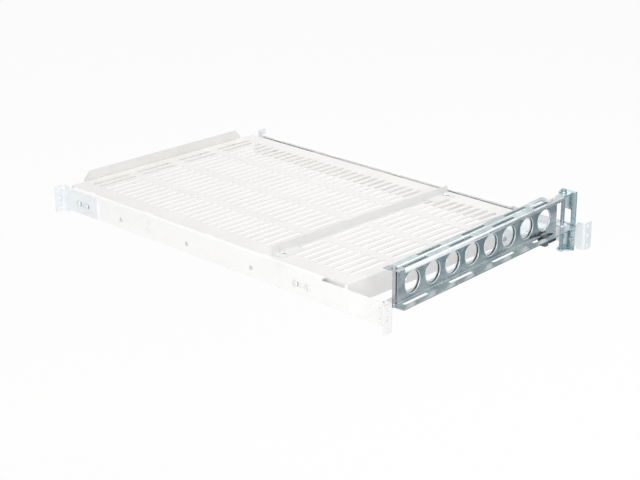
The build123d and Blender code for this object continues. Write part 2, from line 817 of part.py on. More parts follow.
def end_pin():
    """Shouldered pin of the front arm that runs in the slot of the tongue."""
    shoulder_top = front_arm_bottom
    shoulder_bottom = tongue_top + running_gap
    flange_top = tongue_top - tongue_sheet - running_gap
    flange_bottom = flange_top - end_pin_flange_height
    rivet_top = front_arm_bottom + arm_sheet
    profile = [
        (0, flange_bottom), (end_pin_flange, flange_bottom), (end_pin_flange, flange_top),
        (end_pin_radius, flange_top), (end_pin_radius, shoulder_bottom), (end_pin_spacer, shoulder_bottom),
        (end_pin_spacer, shoulder_top), (end_pin_radius, shoulder_top), (end_pin_radius, rivet_top),
        (end_pin_spacer, rivet_top), (end_pin_spacer, rivet_top + elbow_head_height),
        (0, rivet_top + elbow_head_height),
    ]
    return turned(profile, end_pin_place.X, end_pin_place.Y)


def pivot_washer():
    """Plain washer on the lower ear of the rear arm."""
    bottom = arm_bottom + arm_sheet
    outline = Circle(washer_radius) - Circle(rod_radius + pin_clearance)
    return plate(Pos(pivot_x, pivot_y) * outline, bottom, washer_thickness)


def pivot_rod():
    """Headed rod that the rear arm turns on."""
    low = arm_bracket_lower_ear - arm_bracket_sheet / 2 - 2 * clip_thickness - running_gap
    high = arm_bracket_top
    profile = [
        (0, low), (rod_radius, low), (rod_radius, high), (rod_head_radius, high),
        (rod_head_radius, high + rod_head_height), (0, high + rod_head_height),
    ]
    return turned(profile, pivot_x, pivot_y)


def rod_clip():
    """Retaining ring under the lower ear of the bracket."""
    top = arm_bracket_lower_ear - arm_bracket_sheet / 2
    outline = Circle(clip_radius) - Circle(rod_radius + screw_clearance)
    outline -= Pos(0, clip_radius / 2) * Rectangle(rod_radius, clip_radius)
    return plate(Pos(pivot_x, pivot_y) * outline, top - clip_thickness, clip_thickness)


def arm_bracket_screw_ys():
    """Depths of the screws of the cable arm bracket."""
    first = pivot_y - arm_bracket_front_reach + arm_bracket_screw_margin
    last = pivot_y + arm_bracket_rear_reach - arm_bracket_screw_margin
    return (first, last)


def arm_bracket():
    """Windowed bracket with two ears that holds the pivot rod."""
    base = -(rail_outside - arm_bracket_sheet / 2)
    high = arm_bracket_top - arm_bracket_sheet / 2
    low = arm_bracket_lower_ear
    tip = pivot_x + arm_bracket_ear_radius
    points = [(tip, high), (base, high), (base, low), (tip, low)]
    start = pivot_y - arm_bracket_front_reach
    end = pivot_y + arm_bracket_rear_reach
    body = along_y(folded(points, arm_bracket_sheet, arm_bracket_sheet), start, end)
    wall = -(rail_outside - 2 * arm_bracket_sheet)
    back = Polyline((wall, start), (wall, end), (-rail_outside, end), (-rail_outside, start), close=True)
    ear_start = pivot_y - arm_bracket_ear_radius
    ear_end = pivot_y + arm_bracket_ear_radius
    neck = Polyline((wall, start), (pivot_x, ear_start), (pivot_x, ear_end), (wall, end), close=True)
    outline = make_face(back) + make_face(neck) + Pos(pivot_x, pivot_y) * Circle(arm_bracket_ear_radius)
    body &= plate(outline, low - arm_bracket_sheet, high - low + 2 * arm_bracket_sheet)
    window = RectangleRounded(arm_bracket_window_width, arm_bracket_window_height, arm_bracket_sheet)
    window_middle = arm_bracket_window_low + arm_bracket_window_height / 2
    window = Pos(pivot_y + arm_bracket_window_offset, window_middle) * window
    body -= along_x(window, base - arm_bracket_sheet, base + arm_bracket_sheet)
    body -= rod_z(rod_radius, low - arm_bracket_sheet, high + arm_bracket_sheet, pivot_x, pivot_y)
    for y in arm_bracket_screw_ys():
        for z in (-arm_bracket_screw_height, arm_bracket_screw_height):
            body -= rod_x(arm_bracket_screw_radius + screw_clearance, base - arm_bracket_sheet,
                          base + arm_bracket_sheet, y, z)
    return body


def arm_bracket_screws():
    """Screws that hold the cable arm bracket to the ear bracket."""
    screws = []
    for y in arm_bracket_screw_ys():
        for z in (-arm_bracket_screw_height, arm_bracket_screw_height):
            seat = -(rail_outside - arm_bracket_sheet)
            shank = rod_x(arm_bracket_screw_radius, -bracket_outside, seat, y, z)
            head = rod_x(arm_bracket_screw_head, seat, seat + arm_bracket_screw_head_height, y, z)
            outer_edge = head.edges().sort_by(Axis.X)[-1]
            screws.append(shank + chamfer(outer_edge, arm_bracket_screw_head_height / 3))
    return Compound(screws)


# The tongue hangs its vertical leg on the rear flange of the deck.
tongue_screw_z = deck_top - deck_rear_depth + tongue_drop_margin


def tongue_screw_xs():
    """Places of the tongue's screws across the deck."""
    middle = end_pin_place.X + (tongue_right - tongue_left) / 2
    return (middle - tongue_screw_spacing / 2, middle + tongue_screw_spacing / 2)


def tongue():
    """Folded tongue behind the deck with the slot for the front arm's pin."""
    middle = tongue_top - tongue_sheet / 2
    back = deck_rear + tongue_sheet / 2
    reach = end_pin_place.Y + tongue_slot_width
    foot = deck_top - deck_rear_depth
    section = folded([(back, foot), (back, middle), (reach, middle)], tongue_sheet, tongue_bend_radius)
    left = end_pin_place.X - tongue_left
    right = end_pin_place.X + tongue_right
    body = along_x(section, left, right)
    outline = Pos((left + right) / 2, (deck_rear + reach) / 2) * Rectangle(right - left, reach - deck_rear)
    corners = outline.vertices().sort_by(Axis.Y)[-2:]
    trimmed = fillet(corners, tongue_corner)
    body -= plate(outline - trimmed, middle - tongue_sheet, 2 * tongue_sheet)
    run = math.hypot(tongue_slot_run_x, tongue_slot_run_y)
    turn = math.degrees(math.atan2(tongue_slot_run_y, tongue_slot_run_x))
    centre_x = end_pin_place.X + tongue_slot_run_x / 2
    centre_y = end_pin_place.Y + tongue_slot_run_y / 2
    slot = Pos(centre_x, centre_y) * SlotOverall(run + tongue_slot_width, tongue_slot_width, rotation=turn)
    body -= plate(slot, middle - tongue_sheet, 2 * tongue_sheet)
    hole = tongue_screw_radius + screw_clearance
    for x in tongue_screw_xs():
        body -= rod_y(hole, deck_rear - tongue_sheet, deck_rear + 2 * tongue_sheet, x, tongue_screw_z)
    return body


def tongue_screws():
    """Screws that hold the tongue to the rear flange of the deck."""
    screws = []
    for x in tongue_screw_xs():
        seat = deck_rear + tongue_sheet
        shank = rod_y(tongue_screw_radius, deck_rear - 2 * deck_sheet, seat, x, tongue_screw_z)
        head = rod_y(tongue_screw_head, seat, seat + tongue_screw_head_height, x, tongue_screw_z)
        outer_edge = head.edges().sort_by(Axis.Y)[-1]
        screws.append(shank + chamfer(outer_edge, tongue_screw_head_height / 3))
    return Compound(screws)


# All nodes

outer_ball_x = slide_outside - outer_ball_inset
inner_ball_x = deck_half + inner_ball_inset

single_nodes = {
    "shelf_deck": deck(),
    "shelf_front_lip": front_lip(),
    "shelf_lip_rivets": lip_rivets(),
    "stop_bar": stop_bar(),
    "stop_bar_screws": bar_screws(),
    "stop_bar_nuts": bar_nuts(),
    "cable_arm_rear": rear_arm(),
    "cable_arm_front": front_arm(),
    "cable_arm_bumper": arm_bumper(),
    "cable_arm_bumper_clip": bumper_clip(),
    "cable_arm_top_clip": top_clip(),
    "cable_arm_elbow_pin": elbow_pin(),
    "cable_arm_end_pin": end_pin(),
    "cable_arm_washer": pivot_washer(),
    "cable_arm_pivot_rod": pivot_rod(),
    "cable_arm_rod_clip": rod_clip(),
    "cable_arm_bracket": arm_bracket(),
    "cable_arm_bracket_screws": arm_bracket_screws(),
    "cable_arm_tongue": tongue(),
    "cable_arm_tongue_screws": tongue_screws(),
}

side_nodes = {
    "slide_outer": outer_member(),
    "slide_middle": middle_member(),
    "slide_inner": inner_member(),
    "slide_inner_screws": inner_screws(),
    "slide_outer_cages": cages(outer_ball_x, outer_ball_height),
    "slide_outer_balls": balls(outer_ball_x, outer_ball_height),
    "slide_inner_cages": cages(inner_ball_x, inner_ball_height),
    "slide_inner_balls": balls(inner_ball_x, inner_ball_height),
    "slide_stop": closing_stop(),
    "rail": rail(),
    "rail_rivets": rail_rivets(),
    "front_ear_bracket": ear_bracket(0, -1, front_bracket_length, front_slot_place),
    "rear_ear_bracket": rear_ear_bracket(),
    "ear_bracket_screws": bracket_screws(),
}

os.makedirs("parts", exist_ok=True)
for name, shape in single_nodes.items():
    export_step(shape, f"parts/{name}.step")
for name, shape in side_nodes.items():
    export_step(shape, f"parts/{name}_right.step")
    export_step(left_copy(shape), f"parts/{name}_left.step")
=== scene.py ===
"""Dresses the sliding rack shelf: finishes, fine sheet metal pieces, studio and camera."""
import logging
import math
from dataclasses import dataclass, field
from enum import Enum
from typing import Any, Sequence

import bpy
import numpy as np
from mathutils import Matrix, Vector


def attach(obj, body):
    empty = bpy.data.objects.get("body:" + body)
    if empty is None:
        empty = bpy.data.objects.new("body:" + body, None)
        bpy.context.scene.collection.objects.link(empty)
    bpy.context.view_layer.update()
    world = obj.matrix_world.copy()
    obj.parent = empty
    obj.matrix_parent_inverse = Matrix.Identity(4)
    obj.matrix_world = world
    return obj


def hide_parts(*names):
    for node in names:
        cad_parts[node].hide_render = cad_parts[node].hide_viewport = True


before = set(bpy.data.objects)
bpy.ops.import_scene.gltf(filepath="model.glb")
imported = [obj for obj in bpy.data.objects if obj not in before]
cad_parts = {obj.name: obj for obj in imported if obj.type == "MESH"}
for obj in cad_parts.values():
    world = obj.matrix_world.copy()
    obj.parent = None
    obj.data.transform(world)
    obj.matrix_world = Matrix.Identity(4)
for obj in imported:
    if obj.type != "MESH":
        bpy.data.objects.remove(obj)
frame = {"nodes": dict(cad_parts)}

log = logging.getLogger("rack_shelf")
Colour = tuple[float, float, float, float]
Shape = tuple[np.ndarray, np.ndarray]  # points and faces
MM = 0.001
IMAGE_WIDTH = 640
SIDES = ((1.0, "right"), (-1.0, "left"))
WELD_DIGITS = 5  # points that agree to so many decimals of a millimetre are one
NEARLY_UPRIGHT = 0.9  # a unit direction whose Z is above this takes Y as its helper
FOLD_ANGLE = 50.0  # degrees past which an edge of the sheet is softened
MIX_A, MIX_B, MIX_RESULT = 6, 7, 2  # the Mix node's colour sockets


def linear(hex_colour: str) -> Colour:
    """Turns an sRGB hex colour into linear light, by the sRGB curve.

    Args:
        hex_colour: six hex digits after a hash.

    Returns:
        Linear red, green and blue, and 1 for alpha.
    """
    digits = hex_colour.lstrip("#")
    parts = np.array([int(digits[i:i + 2], 16) for i in (0, 2, 4)]) / 255.0
    low = parts / 12.92
    high = ((parts + 0.055) / 1.055) ** 2.4
    red, green, blue = np.where(parts <= 0.04045, low, high)
    return float(red), float(green), float(blue), 1.0


def grey(level: float) -> Colour:
    """A linear grey of the given level."""
    return level, level, level, 1.0


def per_metre(size_mm: float) -> float:
    """Noise scale for a pattern whose features are size_mm apart."""
    return 1.0 / (size_mm * MM)


class Body(Enum):
    """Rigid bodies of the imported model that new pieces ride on."""

    RAILS = "rails"
    SHELF = "shelf"
    REAR_ARM = "rear_arm"
    OUTER_BALLS_RIGHT = "outer_balls_right"
    OUTER_BALLS_LEFT = "outer_balls_left"
    INNER_BALLS_RIGHT = "inner_balls_right"
    INNER_BALLS_LEFT = "inner_balls_left"


# Node graphs

def add_node(tree: bpy.types.NodeTree, kind: str, links: dict[Any, Any] | None = None,
             stops: Sequence[tuple[float, Colour]] = (), **settings: Any) -> Any:
    """Adds one node, sets it and links it.

    Args:
        tree: the node tree.
        kind: Blender's type name of the node.
        links: input name or number to an output socket, or to a plain value.
        stops: position and linear colour of each stop, first to last, on a colour ramp.
        settings: attributes of the node.

    Returns:
        The node.
    """
    node = tree.nodes.new(kind)
    for name, value in settings.items():
        setattr(node, name, value)
    for name, value in (links or {}).items():
        target = node.inputs[name]
        if isinstance(value, bpy.types.NodeSocket):
            tree.links.new(value, target)
        else:
            target.default_value = value
    if stops:
        elements = node.color_ramp.elements
        while len(elements) < len(stops):
            elements.new(1.0)
        for element, (place, colour) in zip(elements, stops):
            element.position = place
            element.color = colour
    return node


def bare_material(name: str) -> tuple[bpy.types.Material, bpy.types.NodeTree]:
    """Makes a node material that has no nodes yet.

    Args:
        name: the material's name.

    Returns:
        The material and its empty tree.
    """
    material = bpy.data.materials.new(name)
    material.use_nodes = True
    material.node_tree.nodes.clear()
    return material, material.node_tree


def close_graph(tree: bpy.types.NodeTree, links: dict[str, Any]) -> None:
    """Ends a graph with the Principled shader and the material's output.

    Args:
        tree: the node tree.
        links: the shader's input names to sockets or plain values.
    """
    shader = add_node(tree, "ShaderNodeBsdfPrincipled", links)
    add_node(tree, "ShaderNodeOutputMaterial", {"Surface": shader.outputs[0]})


def object_points(tree: bpy.types.NodeTree, stretch: Sequence[float] = (1.0, 1.0, 1.0)) -> Any:
    """Object coordinates, stretched for grain that runs one way.

    Args:
        tree: the node tree.
        stretch: how much each axis is scaled before the pattern reads it.

    Returns:
        The vector socket.
    """
    place = add_node(tree, "ShaderNodeTexCoord")
    mapped = add_node(tree, "ShaderNodeMapping", {"Vector": place.outputs["Object"],
                                                  "Scale": tuple(stretch)})
    return mapped.outputs["Vector"]


def seen_share(tree: bpy.types.NodeTree) -> Any:
    """A socket that is 1 where the camera or a reflection looks, and 0 for light on the object.

    Args:
        tree: the node tree.

    Returns:
        The value socket.
    """
    path = add_node(tree, "ShaderNodeLightPath")
    either = add_node(tree, "ShaderNodeMath", {0: path.outputs["Is Camera Ray"],
                                               1: path.outputs["Is Glossy Ray"]},
                      operation="MAXIMUM")
    return either.outputs[0]


@dataclass(frozen=True)
class PowderCoat:
    """Pale powder coat baked on steel sheet: even, satin, with a fine orange peel.

    The peel of the real coat is too fine to show in the render, so it is drawn coarser.
    """

    name: str
    colour: str
    shade: str
    roughness: float = 0.5
    less_rough: float = 0.05
    more_rough: float = 0.06
    peel_mm: float = 1.6
    peel_depth_mm: float = 0.05
    peel_strength: float = 0.12
    mottle_mm: float = 45.0
    mottle_span: tuple[float, float] = (0.3, 0.62)

    def build(self) -> bpy.types.Material:
        """Builds the node material.

        Returns:
            The material.
        """
        material, tree = bare_material(self.name)
        points = object_points(tree)
        mottle = add_node(tree, "ShaderNodeTexNoise", {
            "Vector": points, "Scale": per_metre(self.mottle_mm), "Detail": 4.0, "Roughness": 0.6})
        shades = (linear(self.shade), linear(self.colour))
        colour = add_node(tree, "ShaderNodeValToRGB", {"Fac": mottle.outputs["Fac"]},
                          stops=tuple(zip(self.mottle_span, shades)))
        peel = add_node(tree, "ShaderNodeTexNoise", {
            "Vector": points, "Scale": per_metre(self.peel_mm), "Detail": 2.0})
        rough = add_node(tree, "ShaderNodeMapRange", {
            "Value": peel.outputs["Fac"], "To Min": self.roughness - self.less_rough,
            "To Max": self.roughness + self.more_rough})
        bump = add_node(tree, "ShaderNodeBump", {
            "Height": peel.outputs["Fac"], "Strength": self.peel_strength,
            "Distance": self.peel_depth_mm * MM})
        close_graph(tree, {"Base Color": colour.outputs["Color"],
                           "Roughness": rough.outputs["Result"], "Normal": bump.outputs["Normal"]})
        return material


@dataclass(frozen=True)
class ZincPlate:
    """Bright zinc plate on rolled sheet: drawn grain, cloudy patches and softened edges.

    The grain of the real sheet is too fine to show in the render, so it is drawn coarser.
    """

    name: str
    colour: str
    shade: str
    tint: str
    roughness: float = 0.34
    less_rough: float = 0.08
    more_rough: float = 0.12
    metallic: float = 1.0
    cloud_mm: float = 22.0
    cloud_stops: tuple[float, float, float] = (0.28, 0.5, 0.72)
    grain_mm: float = 0.9
    grain_axis: tuple[float, float, float] = (1.0, 0.05, 1.0)
    grain_strength: float = 0.25
    bump_mm: float = 0.02
    middle_span: tuple[float, float] = (0.3, 0.7)
    streak_low: float = 0.86
    streak_share: float = 0.7
    edge_mm: float = 0.35
    edge_samples: int = 4

    def build(self) -> bpy.types.Material:
        """Builds the node material.

        Returns:
            The material.
        """
        material, tree = bare_material(self.name)
        points = object_points(tree)
        drawn = object_points(tree, self.grain_axis)
        cloud = add_node(tree, "ShaderNodeTexNoise", {
            "Vector": points, "Scale": per_metre(self.cloud_mm), "Detail": 5.0,
            "Roughness": 0.62, "Distortion": 0.6})
        shades = (linear(self.shade), linear(self.colour), linear(self.tint))
        patches = add_node(tree, "ShaderNodeValToRGB", {"Fac": cloud.outputs["Fac"]},
                           stops=tuple(zip(self.cloud_stops, shades)))
        grain = add_node(tree, "ShaderNodeTexNoise", {
            "Vector": drawn, "Scale": per_metre(self.grain_mm), "Detail": 3.0, "Roughness": 0.55})
        levels = (grey(self.streak_low), grey(1.0))
        streak = add_node(tree, "ShaderNodeValToRGB", {"Fac": grain.outputs["Fac"]},
                          stops=tuple(zip(self.middle_span, levels)))
        mixed = add_node(tree, "ShaderNodeMix", {
            "Factor": self.streak_share, MIX_A: patches.outputs["Color"],
            MIX_B: streak.outputs["Color"]}, data_type="RGBA", blend_type="MULTIPLY")
        rough = add_node(tree, "ShaderNodeMapRange", {
            "Value": cloud.outputs["Fac"],
            "From Min": self.middle_span[0], "From Max": self.middle_span[1],
            "To Min": self.roughness - self.less_rough, "To Max": self.roughness + self.more_rough})
        edge = add_node(tree, "ShaderNodeBevel", {"Radius": self.edge_mm * MM},
                        samples=self.edge_samples)
        bump = add_node(tree, "ShaderNodeBump", {
            "Height": grain.outputs["Fac"], "Strength": self.grain_strength,
            "Distance": self.bump_mm * MM, "Normal": edge.outputs["Normal"]})
        close_graph(tree, {"Base Color": mixed.outputs[MIX_RESULT], "Metallic": self.metallic,
                           "Roughness": rough.outputs["Result"], "Normal": bump.outputs["Normal"]})
        return material


@dataclass(frozen=True)
class MouldedPlastic:
    """Moulded plastic or rubber: soft gloss with a spark-eroded texture, drawn coarser to show."""

    name: str
    colour: str
    shade: str
    roughness: float
    rough_spread: float = 0.08
    texture_mm: float = 0.8
    texture_depth_mm: float = 0.05
    texture_strength: float = 0.3
    texture_span: tuple[float, float] = (0.35, 0.65)

    def build(self) -> bpy.types.Material:
        """Builds the node material.

        Returns:
            The material.
        """
        material, tree = bare_material(self.name)
        grain = add_node(tree, "ShaderNodeTexNoise", {
            "Vector": object_points(tree), "Scale": per_metre(self.texture_mm), "Detail": 3.0})
        shades = (linear(self.shade), linear(self.colour))
        colour = add_node(tree, "ShaderNodeValToRGB", {"Fac": grain.outputs["Fac"]},
                          stops=tuple(zip(self.texture_span, shades)))
        rough = add_node(tree, "ShaderNodeMapRange", {
            "Value": grain.outputs["Fac"], "To Min": self.roughness - self.rough_spread,
            "To Max": self.roughness + self.rough_spread})
        bump = add_node(tree, "ShaderNodeBump", {
            "Height": grain.outputs["Fac"], "Strength": self.texture_strength,
            "Distance": self.texture_depth_mm * MM})
        close_graph(tree, {"Base Color": colour.outputs["Color"],
                           "Roughness": rough.outputs["Result"], "Normal": bump.outputs["Normal"]})
        return material


Finish = PowderCoat | ZincPlate | MouldedPlastic

# Polyester powder coat, sprayed and baked: pale warm grey, nearly white, satin.
DECK_COAT = PowderCoat("polyester_powder_coat_pale_grey", "#F2F1F0", "#ECEBEA")
# The lip's and the stop bar's coats are the deck's one paint made darker: painted shade on their
# faces.
SHADED_LIP_COAT = PowderCoat("powder_coat_painted_shade", "#E9E9E8", "#E3E3E2")
SHADED_BAR_COAT = PowderCoat("powder_coat_light_painted_shade", "#ECECEB", "#E6E6E5")
# Bright zinc plate with a clear passivate on rolled steel: silver white with faint clouds.
RAIL_ZINC = ZincPlate("bright_zinc_plate_rail", "#FCFCFC", "#F8F9F9", "#FEFEFE",
                      roughness=0.46, cloud_mm=60.0, metallic=0.15, streak_low=0.97)
SLIDE_ZINC = ZincPlate("bright_zinc_plate_slide", "#F3F5F6", "#ECEFF1", "#F8F9FA",
                       roughness=0.5, metallic=0.25, streak_low=0.94)
BRACKET_ZINC = ZincPlate("bright_zinc_plate_bracket", "#F1F5F9", "#EAEFF4", "#F6F9FC",
                         roughness=0.42, metallic=0.1, streak_low=0.96)
# Zinc plate with a blue passivate on rolled steel: blue grey and glossier.
PIVOT_ZINC = ZincPlate("blue_zinc_plate_bracket", "#C4D6DC", "#B8CBD2", "#D0DFE4",
                       roughness=0.28, cloud_mm=34.0, streak_low=0.92)
ROD_ZINC = ZincPlate("blue_zinc_plate_rod", "#96A5AC", "#8B9BA2", "#A3B0B6",
                     roughness=0.26, cloud_mm=12.0, streak_low=0.92)
# The same on the arms, whose grain runs along them.
ARM_ZINC = ZincPlate("blue_zinc_plate_arm", "#C2CCCF", "#AAB6BA", "#D3DBDD",
                     roughness=0.24, cloud_mm=26.0, grain_axis=(0.05, 1.0, 1.0))
# Zinc plated screws and rivets, turned or cold headed: bright, with no grain that runs one way.
SCREW_ZINC = ZincPlate("zinc_plated_screw", "#C9CACA", "#B4B5B4", "#DADBDC",
                       roughness=0.26, cloud_mm=5.0, grain_mm=0.5, grain_axis=(1.0, 1.0, 1.0))
PALE_SCREW_ZINC = ZincPlate("zinc_plated_screw_pale", "#EDEFF0", "#E2E4E5", "#F4F5F6",
                            roughness=0.42, metallic=0.35, cloud_mm=5.0, grain_mm=0.5,
                            grain_axis=(1.0, 1.0, 1.0), streak_low=0.95)
RIVET_ZINC = ZincPlate("zinc_plated_rivet", "#DDDFE0", "#CFD1D2", "#E8EAEB",
                       roughness=0.36, cloud_mm=5.0, grain_mm=0.5, grain_axis=(1.0, 1.0, 1.0))
# Edges of the arm's sheet: the same zinc, brighter, as a painted highlight.
HIGHLIGHT_ZINC = ZincPlate("zinc_painted_highlight", "#ECF1F3", "#DFE6E9", "#F5F9FA",
                      roughness=0.28, cloud_mm=12.0)
# Bare steel, turned on a lathe or ground and polished: neutral grey and glossy.
PIN_STEEL = ZincPlate("turned_steel_pin", "#B9BBBC", "#A0A3A5", "#CDD0D2",
                      roughness=0.24, cloud_mm=8.0, grain_mm=0.4, grain_axis=(0.2, 0.2, 4.0))
BALL_STEEL = ZincPlate("polished_ball_steel", "#C6C8CA", "#B8BABD", "#D2D4D6",
                       roughness=0.16, cloud_mm=4.0)
# Natural acetal, injection moulded: milky, faintly yellow, soft gloss.
CAGE_ACETAL = MouldedPlastic("natural_acetal", "#F3F2EE", "#EAE9E3", 0.42)
# Moulded nitrile rubber: nearly black and dull.
STOP_RUBBER = MouldedPlastic("black_nitrile_rubber", "#2B2B2B", "#1D1D1D", 0.62)
# Moulded nylon, white, and a dark grey that paints the shade on the clip under the arm: soft gloss.
CLIP_NYLON = MouldedPlastic("white_nylon", "#F4F4F3", "#ECECEB", 0.4)
CLIP_PAINTED_SHADE = MouldedPlastic("nylon_dark_painted_shade", "#62696C", "#545B5E", 0.45)


# Meshes

def grid_cells(columns: int, rows: int) -> np.ndarray:
    """Corner numbers of each cell of a grid whose points are numbered row by row.

    Args:
        columns: points along the first parameter.
        rows: points along the second parameter.

    Returns:
        Array of (columns - 1) x (rows - 1) x 4 corner numbers, turning anticlockwise.
    """
    number = np.arange(columns * rows).reshape(columns, rows)
    return np.stack([number[:-1, :-1], number[1:, :-1], number[1:, 1:], number[:-1, 1:]], axis=-1)


def copied_faces(faces: np.ndarray, copies: int, points_each: int) -> np.ndarray:
    """Faces of several copies of a shape whose points follow one another.

    Args:
        faces: m x 4 array of point numbers of one copy.
        copies: how many there are.
        points_each: points of one copy.

    Returns:
        Array of (copies x m) x 4 point numbers.
    """
    starts = np.arange(copies) * points_each
    return (starts[:, None, None] + faces[None, :, :]).reshape(-1, 4)


def repeated(local: np.ndarray, faces: np.ndarray, centres: np.ndarray) -> Shape:
    """Sets a copy of a shape at each of several places: each point is a place plus a local point.

    Args:
        local: n x 3 array of the shape's points.
        faces: m x 4 array of point numbers.
        centres: k x 3 array of places.

    Returns:
        Points and faces of all the copies.
    """
    points = (centres[:, None, :] + local[None, :, :]).reshape(-1, 3)
    return points, copied_faces(faces, len(centres), len(local))


def link_mesh(name: str, points: np.ndarray, faces: list[list[int]]) -> bpy.types.Object:
    """Makes an object and links it to the scene.

    Args:
        name: the piece's name.
        points: n x 3 array in millimetres.
        faces: the point numbers of each face.

    Returns:
        The linked object, at the origin.
    """
    mesh = bpy.data.meshes.new(name)
    mesh.from_pydata((points * MM).tolist(), [], faces)
    mesh.validate()
    made = bpy.data.objects.new(name, mesh)
    bpy.context.scene.collection.objects.link(made)
    return made


def make_mesh(name: str, points: np.ndarray, faces: np.ndarray) -> bpy.types.Object:
    """Makes an object from points in millimetres and quads, without unused points.

    Args:
        name: the piece's name.
        points: n x 3 array.
        faces: m x 4 array of point numbers.

    Returns:
        The linked object, at the origin.
    """
    used, compact = np.unique(faces, return_inverse=True)
    return link_mesh(name, points[used], compact.reshape(faces.shape).tolist())


def make_welded(name: str, points: np.ndarray, faces: np.ndarray) -> bpy.types.Object:
    """Makes an object whose seams and poles are closed: points in one place become one point.

    Args:
        name: the piece's name.
        points: n x 3 array in millimetres.
        faces: m x 4 array of point numbers.

    Returns:
        The linked object, at the origin.
    """
    unique, number = np.unique(np.round(points, WELD_DIGITS), axis=0, return_inverse=True)
    corners = number.reshape(-1)[faces].tolist()
    whole = [list(dict.fromkeys(face)) for face in corners]
    return link_mesh(name, unique, [face for face in whole if len(face) > 2])


def flat_sheet(half_width: float, half_depth: float, height: float) -> Shape:
    """A level rectangle about the Z axis.

    Args:
        half_width: half its width along X in millimetres.
        half_depth: half its depth along Y in millimetres.
        height: its height in millimetres.

    Returns:
        Its four corners, and its one face, which points up.
    """
    corners = np.array([[-1.0, -1.0], [1.0, -1.0], [1.0, 1.0], [-1.0, 1.0]])
    points = np.column_stack([corners * (half_width, half_depth), np.full(4, height)])
    return points, np.array([[0, 1, 2, 3]])


def axes_of(direction: Sequence[float]) -> np.ndarray:
    """Right-handed axes whose third is the given direction.

    Args:
        direction: any vector but nought.

    Returns:
        The three unit axes, as the rows of a matrix.
    """
    third = np.array(direction, dtype=float) / np.linalg.norm(direction)
    upright = abs(third[2]) >= NEARLY_UPRIGHT
    helper = np.array([0.0, 1.0, 0.0]) if upright else np.array([0.0, 0.0, 1.0])
    first = np.cross(helper, third)
    first /= np.linalg.norm(first)
    return np.stack([first, np.cross(third, first), third])


def turned_surface(radii: np.ndarray, heights: np.ndarray, sides: int) -> Shape:
    """Surface of a turned piece: each profile point circles the axis.

    A point at profile step p and angle a lies at radius(p) cos a, radius(p) sin a and height(p).

    Args:
        radii: the profile's distances from the axis.
        heights: the profile's heights, from the top's middle outwards and down.
        sides: steps round the axis.

    Returns:
        Points on a grid of profile steps by angles, and its faces, which point outwards.
    """
    angle = np.linspace(0.0, 2 * math.pi, sides + 1)
    x = radii[:, None] * np.cos(angle)[None, :]
    y = radii[:, None] * np.sin(angle)[None, :]
    z = np.broadcast_to(heights[:, None], x.shape)
    points = np.stack([x, y, z], axis=-1)
    return points, grid_cells(len(radii), sides + 1).reshape(-1, 4)


def dress(piece: bpy.types.Object, material: bpy.types.Material, body: Body) -> None:
    """Gives a new piece its finish, its body and its material slot, and shades it smooth.

    Args:
        piece: the object.
        material: its finish.
        body: the body that it rides on.
    """
    piece.data.materials.append(material)
    piece.data.polygons.foreach_set("use_smooth", np.full(len(piece.data.polygons), True))
    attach(piece, body.value)
    log.info("%s: %d faces on %s", piece.name, len(piece.data.polygons), body.value)


def thicken(piece: bpy.types.Object, thickness_mm: float, edge_mm: float) -> None:
    """Turns an outer skin into sheet metal with softened edges.

    Args:
        piece: the skin, with its faces outwards.
        thickness_mm: the sheet's thickness, added inwards.
        edge_mm: the width of the softened edge.
    """
    wall = piece.modifiers.new("sheet", "SOLIDIFY")
    wall.thickness = thickness_mm * MM
    wall.offset = -1.0
    wall.use_even_offset = True
    edge = piece.modifiers.new("edge", "BEVEL")
    edge.width = edge_mm * MM
    edge.segments = 1
    edge.limit_method = "ANGLE"
    edge.angle_limit = math.radians(FOLD_ANGLE)
    edge.harden_normals = True


